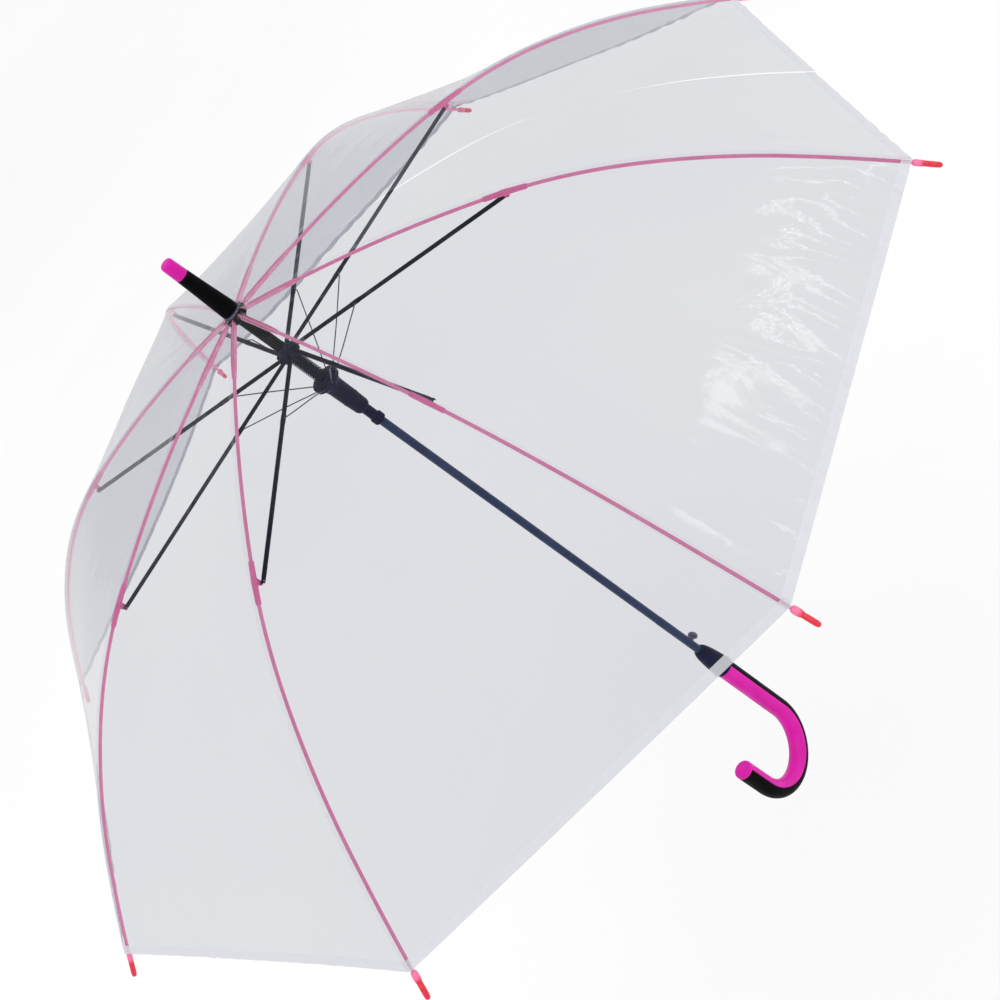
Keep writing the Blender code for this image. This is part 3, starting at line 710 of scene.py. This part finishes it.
def build_spring():
    top = UPPER_CROWN_Z - 0.0050
    foot = SLEEVE_FOOT_Z + 0.0052
    radius = 0.00585
    wire = 0.00045
    turns = 30
    steps = 22
    path = []
    for step in range(turns * steps + 1):
        turn = 2 * math.pi * step / steps
        share = step / (turns * steps)
        ends = 0.02 * math.sin(2 * math.pi * share)
        height = foot + (top - foot) * (share - ends)
        path.append(Vector((radius * math.cos(turn), radius * math.sin(turn), height)))
    spring = add_piece("coil_spring", lambda s: tube_along(s, path, wire, 8), OILED)
    settle(spring, "upper_runner", "spring_steel", "opening_spring")
    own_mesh(spring)


def build_button():
    where = Matrix.Translation((0.0080, 0.0, BUTTON_Z)) @ Matrix.Rotation(math.pi / 2, 4, "Y")
    profile = [(0.0, 0.0050)]
    profile += [(0.0050 * out, 0.0020 + 0.0030 * rise) for out, rise in quarter(8)]
    profile += [
        (0.0050, 0.0006), (0.0046, 0.0001), (0.0025, 0.0), (0.0018, -0.0004), (0.0017, -0.0055),
        (0.0, -0.0056),
    ]
    button = add_piece("button_dome", lambda s: lathe(s, profile, 40, where), GREY)
    settle(button, "push_button", "grey_plastic", "push_button")


# ---- handle


def build_collar():
    top = NOTCH_Z - 0.6145
    foot = COLLAR_FOOT_Z
    profile = [
        (BORE, top), (0.0050, top), (0.0062, top - 0.0014), (0.0074, top - 0.0042),
        (0.0085, top - 0.0090), (0.0094, top - 0.0160), (0.0101, top - 0.0230),
        (0.0108, top - 0.0310), (0.0111, foot + 0.0042), (0.0109, foot + 0.0038),
        (0.0109, foot + 0.0032), (0.0113, foot + 0.0028), (0.0113, foot + 0.0006), (0.0107, foot),
        (BORE, foot),
    ]
    piece = add_piece("collar_bell", lambda s: lathe(s, soften(profile, 0.0006, 4), 64), NAVY)
    settle(piece, "root", "navy_plastic", "handle_collar")


HOOK_RADIUS = 0.044
HOOK_CENTRE_Z = -0.045
HOOK_TAIL = 0.038
HANDLE_RADIUS = 0.010
HANDLE_TOP = COLLAR_FOOT_Z - 0.0003
# Size of the black strip of painted shade that runs along the crook's outer side and under its bend.
SHADE_STRIP_HALF_DEG = 88.0
SHADE_STRIP_DEPTH = 0.0015
SHADE_STRIP_END = 0.005


def hook_frame(along):
    """(centre, outward, sideways) of the crook at a length from under the collar."""
    straight = HANDLE_TOP - HOOK_CENTRE_Z
    bend = math.pi * HOOK_RADIUS
    if along <= straight:
        return Vector((0, 0, HANDLE_TOP - along)), Vector((1, 0, 0)), Vector((0, 1, 0))
    if along <= straight + bend:
        turn = (along - straight) / HOOK_RADIUS
        out = Vector((math.cos(turn), 0, -math.sin(turn)))
        centre = Vector((-HOOK_RADIUS, 0, HOOK_CENTRE_Z)) + out * HOOK_RADIUS
        return centre, out, Vector((0, 1, 0))
    rise = along - straight - bend
    return Vector((-2 * HOOK_RADIUS, 0, HOOK_CENTRE_Z + rise)), Vector((-1, 0, 0)), Vector((0, 1, 0))


def hook_length():
    return HANDLE_TOP - HOOK_CENTRE_Z + math.pi * HOOK_RADIUS + HOOK_TAIL


def core_section(radius, shade_strip_share):
    """The core's outline: round, with its outer side cut back for the black strip of painted shade."""
    points = []
    for step in range(72):
        turn = 2 * math.pi * step / 72
        off = abs((math.degrees(turn) + 180) % 360 - 180)
        reach = radius
        if off < SHADE_STRIP_HALF_DEG + 2.0:
            reach = radius - (SHADE_STRIP_DEPTH + 0.0002) * shade_strip_share
        points.append((reach * math.cos(turn), reach * math.sin(turn)))
    return points


def build_handle():
    length = hook_length()
    fillet = 0.0030
    stops = [(along, HANDLE_RADIUS, 1.0) for along in spread(0.0, length - SHADE_STRIP_END, 150)]
    stops.append((length - SHADE_STRIP_END + 0.0002, HANDLE_RADIUS, 0.0))
    stops.append((length - fillet, HANDLE_RADIUS, 0.0))
    for out, rise in quarter(7):
        stops.append((length - fillet + fillet * out, HANDLE_RADIUS - fillet * (1 - rise), 0.0))
    stops.append((length + 0.0003, (HANDLE_RADIUS - fillet) * 0.5, 0.0))

    def core(shape):
        frames = [hook_frame(along) for along, _, _ in stops]
        sections = [core_section(radius, share) for _, radius, share in stops]
        sweep(shape, frames, sections)

    piece = add_piece("crook_core", core, MAGENTA)
    settle(piece, "root", "magenta_plastic", "crook_handle")

    def strip(shape):
        half = math.radians(SHADE_STRIP_HALF_DEG)
        outer = arc_points(HANDLE_RADIUS, spread(-half, half, 37))
        inner = arc_points(HANDLE_RADIUS - SHADE_STRIP_DEPTH, spread(half, -half, 37))
        for end in (0, -1):
            # Drawn in a little, so that a fine seam shows beside the strip.
            outer[end] = (outer[end][0] * 0.975, outer[end][1] * 0.975)
        span = spread(0.0, length - SHADE_STRIP_END - 0.0003, 150)
        sweep(shape, [hook_frame(along) for along in span], [outer + inner] * len(span))

    # The black strip is painted shade: a dark piece laid along the crook's outer side and under its bend,
    # where deep shade falls.
    piece = add_piece("crook_painted_shade_strip", strip, BLACK)
    settle(piece, "root", "black_plastic", "handle_back_strip")


# ---- ribs


def blend_over_clip(piece):
    """Bakes the piece's placement into its mesh."""
    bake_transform(piece)


def rod_section(arc):
    """Round rod, pressed flat and tall at the hinge eye."""
    pressed = max(0.0, 1.0 - max(0.0, arc - 0.002) / 0.006)
    return oval(RIB_RADIUS * (1 - 0.3 * pressed), RIB_RADIUS * (1 + 0.35 * pressed), 14)


def build_rib_rod(index):
    arcs = [-0.0022, -0.0020, -0.0014] + spread(-0.0004, RIB_END, 96)

    def rod(shape):
        frames = [rib_frame(index, arc) for arc in arcs]
        sections = [rod_section(arc) for arc in arcs]
        sections[0] = [(x * 0.5, y * 0.5) for x, y in sections[0]]
        sections[1] = [(x * 0.85, y * 0.85) for x, y in sections[1]]
        sweep(shape, frames, sections)

    piece = add_piece(f"rib_rod_{index}", rod, PINK_PAINT)
    blend_over_clip(piece)
    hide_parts(f"rib_inner_{index}", f"rib_outer_{index}")


def build_rib_root(index):
    """A pressed channel, open above, that the rib's root lies in."""
    half = 0.0023
    wall = 0.00045
    outline = [
        (-half, 0.0014), (-half, -0.0012), (-half * 0.7, -0.0019), (half * 0.7, -0.0019),
        (half, -0.0012), (half, 0.0014), (half - wall, 0.0014), (half - wall, -0.0010),
        (half * 0.7 - wall, -0.0019 + wall), (-half * 0.7 + wall, -0.0019 + wall),
        (-half + wall, -0.0010), (-half + wall, 0.0014),
    ]

    def channel(shape):
        arcs = spread(0.0048, 0.060, 14)
        sections = []
        for arc in arcs:
            taper = 1.0 - 0.22 * max(0.0, (arc - 0.045) / 0.015)
            sections.append([(x * taper, y * taper) for x, y in outline])
        sweep(shape, [rib_frame(index, arc) for arc in arcs], sections)

    piece = add_piece(f"rib_root_channel_{index}", channel, PINK_PAINT)
    settle(piece, f"rib_{index}", "pink_metal")


def ear_outline(depth, reach):
    """Side view of a clip's ear: square above, round about the pin below."""
    points = [(reach, 0.0018)]
    for step in range(13):
        turn = math.pi * step / 12
        points.append((reach * math.cos(turn), -depth - reach * math.sin(turn)))
    points.append((-reach * 1.6, -0.0010))
    points.append((-reach * 1.6, 0.0018))
    return points


def pin_both_ends(shape, head, steps, where):
    """A headed pin, from the (radius, height) points of one end."""
    lathe(shape, head + [(r, -z) for r, z in reversed(head)], steps, where)


def build_clip(index):
    """The moulded clip round the rib, with an ear and a pin that the stretcher turns on."""
    half = 0.019
    start = RIB_JOINT - half
    end = RIB_JOINT + half

    def sleeve(shape):
        arcs = [start, start + 0.0003, start + 0.0012]
        arcs += spread(start + 0.004, end - 0.004, 17) + [end - 0.0012, end - 0.0003, end]
        frames = []
        sections = []
        for arc in arcs:
            side = min(arc - start, end - arc)
            swell = min(1.0, 0.78 + 0.22 * math.sqrt(min(1.0, side / 0.0014)))
            waist = 1.0 + 0.10 * math.exp(-(((arc - RIB_JOINT) / 0.006) ** 2))
            frames.append(rib_frame(index, arc))
            sections.append(oval(0.0021 * swell * waist, 0.0021 * swell * waist, 20, 2.8))
        sweep(shape, frames, sections)

    piece = add_piece(f"clip_sleeve_{index}", sleeve, PINK_CLIP)
    blend_over_clip(piece)

    pin_radius, pin_height = rib_point(RIB_JOINT, -PIN_DROP)
    pin = station_place(index, pin_radius, 0.0, pin_height)
    _, across, normal = rib_frame(index, RIB_JOINT)
    along = across.cross(normal)

    thick = 0.0009
    beside = STRETCHER_SIDE - STRETCHER_HALF - 0.0002 - thick / 2

    def ear(shape):
        centre = pin + normal * PIN_DROP + across * beside
        outline = soften(ear_outline(PIN_DROP - 0.0009, 0.0024), 0.0003)
        plate(shape, outline, thick, placed(centre, along, across, normal))

    settle(add_piece(f"clip_ear_{index}", ear, PINK_CLIP), f"rib_{index}", "pink_metal")

    head = [(0.0, 0.0025), (0.0007, 0.0025), (0.0012, 0.0022), (0.0012, 0.0020), (0.0006, 0.0020)]
    where = placed(pin + across * (STRETCHER_SIDE - 0.0005), along, normal, across)
    rivet = add_piece(f"clip_rivet_{index}", lambda s: pin_both_ends(s, head, 16, where), STEEL)
    settle(rivet, f"rib_{index}", "spring_steel")


def build_cap(index):
    """The rib's end cap: a flattened socket that holds the film's corner, then a round tip."""
    stops = [
        (0.0, 0.0019, 0.0018), (0.0003, 0.0024, 0.0021), (0.0014, 0.0030, 0.0024),
        (0.0040, 0.0033, 0.0025), (0.0070, 0.0031, 0.0025), (0.0090, 0.0026, 0.0024),
        (0.0102, 0.0023, 0.0023), (0.0110, 0.0024, 0.0024), (0.0160, 0.00245, 0.00245),
        (0.0205, 0.0024, 0.0024), (0.0222, 0.0022, 0.0022), (0.0233, 0.0017, 0.0017),
        (0.0239, 0.0009, 0.0009), (0.0240, 0.0003, 0.0003),
    ]
    centre, across, _ = rib_frame(index, CAP_START)
    droop = droop_at((CAP_START + RIB_LENGTH) / 2)
    along = outward(index) * math.cos(droop) - UP * math.sin(droop)
    normal = outward(index) * math.sin(droop) + UP * math.cos(droop)

    def cap(shape):
        frames = [(centre + along * place, across, normal) for place, _, _ in stops]
        sweep(shape, frames, [oval(wide, high, 20) for _, wide, high in stops])

    piece = add_piece(f"rib_end_cap_{index}", cap, CAP_PINKS)
    share = piece.data.attributes.new("along", "FLOAT", "POINT")
    for vert in piece.data.vertices:
        share.data[vert.index].value = (vert.co - centre).dot(along) / stops[-1][0]
    settle(piece, f"rib_end_{index}", "pink_plastic", f"rib_cap_{index}")


# ---- stretchers and wires


def stretcher_line(index, side):
    """(hinge, unit direction, length) of the stretcher's line, at a distance beside the rib."""
    hinge = station_place(index, STRETCHER_HINGE_RADIUS, side, UPPER_CROWN_Z - NOTCH_Z)
    radius, height = rib_point(RIB_JOINT, -PIN_DROP)
    pin = station_place(index, radius, side, height)
    return hinge, (pin - hinge).normalized(), (pin - hinge).length


def channel_outline(half, top, wall):
    """Half-round backed channel, open below."""
    points = [(-half, -top)]
    for step in range(7):
        turn = math.pi - math.pi * step / 6
        points.append((half * math.cos(turn), top * 0.25 + top * 0.75 * math.sin(turn)))
    points += [(half, -top), (half - wall, -top)]
    for step in range(7):
        turn = math.pi * step / 6
        points.append(((half - wall) * math.cos(turn), top * 0.25 - wall + top * 0.75 * math.sin(turn)))
    points.append((-half + wall, -top))
    return points


def build_stretcher(index):
    """A pressed steel channel with flattened eyes, and a saddle where its wire joins."""
    hinge, along, length = stretcher_line(index, STRETCHER_SIDE)
    across = sideways(index)
    normal = upward(across.cross(along))
    overrun = 0.0018

    def channel(shape):
        stops = [-overrun, -0.0014, 0.0, 0.004, 0.007, 0.064, 0.0665, 0.0685, 0.0775, 0.0795, 0.082]
        stops += spread(0.12, length - 0.008, 4)
        stops += [length - 0.004, length, length + 0.0014, length + overrun]
        frames = []
        sections = []
        for place in stops:
            from_end = min(place + overrun, length + overrun - place)
            pressed = 1.0 - min(1.0, max(0.0, (from_end - 0.004) / 0.005))
            saddle = 1.0 if 0.067 < place < 0.079 else 0.0
            half = STRETCHER_HALF * (1 - 0.20 * pressed) + 0.0002 * saddle
            tall = 0.0013 * (1 + 0.10 * pressed) + 0.0002 * saddle
            if from_end < 0.001:
                tall *= 0.8
            frames.append((hinge + along * place, across, normal))
            sections.append(channel_outline(half, tall, 0.00045))
        sweep(shape, frames, sections)

    piece = add_piece(f"stretcher_channel_{index}", channel, BLACK_PAINT)
    settle(piece, f"stretcher_{index}", "black_metal", f"stretcher_{index}")

    head = [(0.0, 0.0024), (0.0005, 0.0024), (0.0008, 0.0022), (0.0008, 0.0019), (0.0004, 0.0019)]
    where = placed(hinge + along * WIRE_ATTACH, along, normal, across)
    rivet = add_piece(f"stretcher_rivet_{index}", lambda s: pin_both_ends(s, head, 12, where), STEEL)
    settle(rivet, f"stretcher_{index}", "spring_steel")


def build_wire(index):
    """A thin support wire: an eye round the sleeve's hinge wire, a long run, and a crank to the stretcher."""
    hinge, along, _ = stretcher_line(index, 0.0)
    attach = hinge + along * WIRE_ATTACH
    foot = station_place(index, WIRE_HINGE_RADIUS, 0.0, LOWER_CROWN_Z - NOTCH_Z)
    run = (attach - foot).normalized()
    across = sideways(index)
    lift = run.cross(across)
    path = []
    eye = 0.0011
    for step in range(11):
        turn = math.pi * (1.0 + 1.55 * step / 10)
        path.append(foot + run * eye * math.cos(turn) * 0.9 + lift * eye * math.sin(turn))
    straight = (attach - foot).length
    for share in (*spread(0.03, 0.95, 15), 0.965, 0.982, 1.0):
        sway = 0.0004 * math.sin(math.pi * 2 * share + index)
        crank = CRANK_SIDE * max(0.0, 1.0 - (1.0 - share) * straight / CRANK_LENGTH)
        path.append(foot + run * straight * share + lift * sway * (1 - share) + across * crank)

    piece = add_piece(f"support_rod_{index}", lambda s: tube_along(s, path, 0.00055, 8, across), STEEL)
    settle(piece, f"support_wire_{index}", "spring_steel", f"support_wire_{index}")


# ---- film


def panel_relief(panel, across, arc, reach, radius):
    """How far the film stands off its smooth shape: slack, creases and puckers at the hem."""
    between = 0.5 - abs(across - 0.5)
    pinned = min(1.0, between / 0.06)
    chord = 2 * radius * math.sin(HALF_PANEL)
    from_rib = between * chord
    slack = noise.noise(Vector((panel * 5.1 + across * 1.6, arc * 5.0, 0.3))) * 0.010 * radius
    drift = noise.noise(Vector((panel * 3.7, arc * 7.0, 4.0)))
    height = slack * 4 * between * (1 - between)
    # The creases from packing are deepest in one panel.
    deep = 1.0 if panel == CREASED_PANEL else 0.35
    for line, depth, width in CREASES:
        off = (across - line - 0.010 * drift) * chord / width
        height += deep * depth * math.exp(-off * off) * (0.6 + 0.5 * drift)
    # Short radial puckers along the hem.
    to_hem = max(0.0, reach - arc)
    patch = noise.noise(Vector((panel * 9.3 + across * 3.1, 7.7, 1.1)))
    strength = (0.4 + 0.6 * deep) * 0.0013 * max(0.15, 0.55 + 1.3 * patch)
    strength *= math.exp(-((to_hem / 0.030) ** 1.3))
    phase = across * chord / 0.024 + 0.8 * noise.noise(Vector((panel * 2.9, across * 9.0, arc * 9.0)))
    height += strength * math.cos(2 * math.pi * phase)
    # Slack ripples beside the ribs towards their tips.
    tip = max(0.0, (arc - 0.30) / 0.28)
    ripple = math.exp(-from_rib / 0.024) * math.sin(from_rib / 0.0052 + 2.0 * drift)
    height += 0.0012 * tip * ripple
    return height * pinned


def film_point(panel, across, arc, reach, lift=0.0):
    """A point on the film between a rib and the next one, across from 0 to 1."""
    radius, height = rib_point(arc, FILM_LIFT)
    droop = droop_at(arc)
    first = outward(panel) * radius
    second = outward(panel + 1) * radius
    flat = first.lerp(second, across)
    between = 0.5 - abs(across - 0.5)
    sag = FILM_SAG * radius * 4 * between * (1 - between)
    normal = flat.normalized() * math.sin(droop) + UP * math.cos(droop)
    stand = lift - sag + panel_relief(panel, across, arc, reach, radius)
    return flat + UP * (NOTCH_Z + height) + normal * stand


def hem_arc(across):
    between = 0.5 - abs(across - 0.5)
    return FILM_END * (1.0 - HEM_CURVE * 4 * between * (1 - between))


def film_normal(panel, across, arc, reach):
    left = film_point(panel, across - NORMAL_STEP, arc, reach)
    right = film_point(panel, across + NORMAL_STEP, arc, reach)
    above = film_point(panel, across, arc - NORMAL_STEP * 0.4, reach)
    below = film_point(panel, across, arc + NORMAL_STEP * 0.4, reach)
    return (below - above).cross(right - left).normalized()


def film_sheet(name, index, side, columns, arcs_at, lift, material):
    """An open sheet on one side of a rib, out to the panel's middle.

    arcs_at gives the lengths along the rib of the sheet's rows, for a place across.
    """
    panel = index if side > 0 else index - 1
    shares = [column / columns for column in range(columns + 1)]
    grid = []
    normals = []
    for share in shares:
        across = share / 2 if side > 0 else 1 - share / 2
        reach = hem_arc(across)
        for arc in arcs_at(across):
            grid.append(film_point(panel, across, arc, reach, lift))
            inside = min(max(across, NORMAL_STEP), 1 - NORMAL_STEP)
            normals.append(film_normal(panel, inside, arc, reach))
    rows = len(grid) // (columns + 1)
    faces = []
    for column in range(columns):
        for row in range(rows - 1):
            corner = column * rows + row
            quad = (corner, corner + 1, corner + rows + 1, corner + rows)
            faces.append(quad if side > 0 else tuple(reversed(quad)))
    mesh = bpy.data.meshes.new(name)
    mesh.from_pydata([tuple(p) for p in grid], [], faces)
    mesh.update()
    mesh.shade_smooth()
    if mesh.polygons[0].normal.z < 0:
        mesh.flip_normals()
    mesh.normals_split_custom_set_from_vertices([tuple(upward(n)) for n in normals])
    piece = add_object(name, mesh)
    mesh.materials.append(material)
    return piece


def gather(piece):
    """Gives the sheet a mesh of its own."""
    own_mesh(piece)


def build_film(index):
    inner_rows = spread(FILM_START, RIB_JOINT, 42)
    outer_shares = spread(0.0, 0.72, 30) + spread(0.735, 1.0, 26)
    for side, word in ((1, "left"), (-1, "right")):
        inner = film_sheet(f"film_inner_{word}_{index}", index, side, 30, lambda _: inner_rows, 0.0, CLEAR)
        settle(inner, f"rib_{index}", "clear_film")
        gather(inner)

        def outer_arcs(across):
            reach = hem_arc(across)
            return [RIB_JOINT + (reach - RIB_JOINT) * share for share in outer_shares]

        outer = film_sheet(f"film_outer_{word}_{index}", index, side, 44, outer_arcs, 0.0, CLEAR)
        settle(outer, f"rib_end_{index}", "clear_film")
        gather(outer)
        if side > 0:
            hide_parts(f"canopy_gore_{index}")

        def hem_arcs(across):
            reach = hem_arc(across)
            return [reach - HEM_WIDTH * (1 - share) for share in spread(0.0, 1.0, 6)]

        hem = film_sheet(f"hem_{word}_{index}", index, side, 44, hem_arcs, 0.0004, HEM)
        settle(hem, f"rib_end_{index}", "clear_film")
        gather(hem)


def build_weld(index):
    """The welded seam of two panels, a narrow double strip over the rib."""
    half = 0.0034
    arcs = spread(0.003, FILM_END - 0.001, 90)

    def strip(shape):
        rings = []
        for arc in arcs:
            centre, across, normal = rib_frame(index, arc, FILM_LIFT + 0.0005)
            beside = math.sin(HALF_PANEL) * math.sin(droop_at(arc))
            ring = []
            for x in (-1.0, -0.5, 0.0, 0.5, 1.0):
                drop = abs(x) * half * beside
                ring.append(centre + across * x * half - normal * drop)
            rings.append(ring)
        skin(shape, rings, ends=False, round_ring=False)

    piece = add_piece(f"film_weld_{index}", strip, WELD, closed=False)
    if piece.data.polygons[0].normal.z < 0:
        piece.data.flip_normals()
    blend_over_clip(piece)


# ---- stage


def add_light(name, place, target, width, height, power):
    lamp = bpy.data.lights.new(name, "AREA")
    lamp.shape = "RECTANGLE"
    lamp.size = width
    lamp.size_y = height
    lamp.energy = power
    light = add_object(name, lamp)
    light.location = place
    light.rotation_euler = (Vector(target) - Vector(place)).to_track_quat("-Z", "Y").to_euler()


def build_stage():
    def plane(shape):
        bmesh.ops.create_grid(shape, x_segments=2, y_segments=2, size=40.0)

    floor = add_piece("floor", plane, floor_material(), closed=False)
    floor.location = (0.0, 0.0, FLOOR_Z)
    world = bpy.data.worlds.new("studio")
    world.use_nodes = True
    sky = world.node_tree.nodes["Background"]
    sky.inputs["Color"].default_value = (1.0, 1.0, 1.0, 1.0)
    sky.inputs["Strength"].default_value = 0.85
    bpy.context.scene.world = world
    sun = bpy.data.lights.new("sun", "SUN")
    sun.energy = 0.75
    sun.angle = math.radians(40)
    add_object("sun", sun).rotation_euler = (math.radians(28), math.radians(-18), 0.0)
    add_light("softbox_side", (1.45, -2.75, 1.95), (0.0, -0.4, 0.45), 0.08, 1.2, 9.0)
    add_light("softbox_back", (-1.6, 2.4, 3.2), (0.0, 0.0, 0.5), 1.0, 1.0, 12.0)


def build_camera():
    """A long lens from above and to one side, rolled so that the shaft lies across the frame."""
    forward = Vector(CAMERA_FORWARD).normalized()
    right = forward.cross(Vector(CAMERA_UP)).normalized()
    camera = add_object("camera", bpy.data.cameras.new("camera"))
    camera.data.lens = LENS_MM
    camera.data.sensor_width = 36.0
    camera.data.clip_start = 0.05
    camera.data.clip_end = 200.0
    camera.matrix_world = placed(CAMERA_PLACE, right, right.cross(forward), -forward)
    bpy.context.scene.camera = camera
    bpy.context.scene.view_settings.view_transform = "Standard"


def main():
    build_camera()
    build_stage()
    build_shaft()
    build_ferrule()
    build_notch()
    build_rosette()
    build_upper_runner()
    build_lower_runner()
    build_spring()
    build_button()
    build_collar()
    build_handle()
    parts = (build_rib_rod, build_rib_root, build_clip, build_cap)
    parts += (build_stretcher, build_wire, build_film, build_weld)
    for index in range(1, RIB_COUNT + 1):
        for build_part in parts:
            build_part(index)


main()
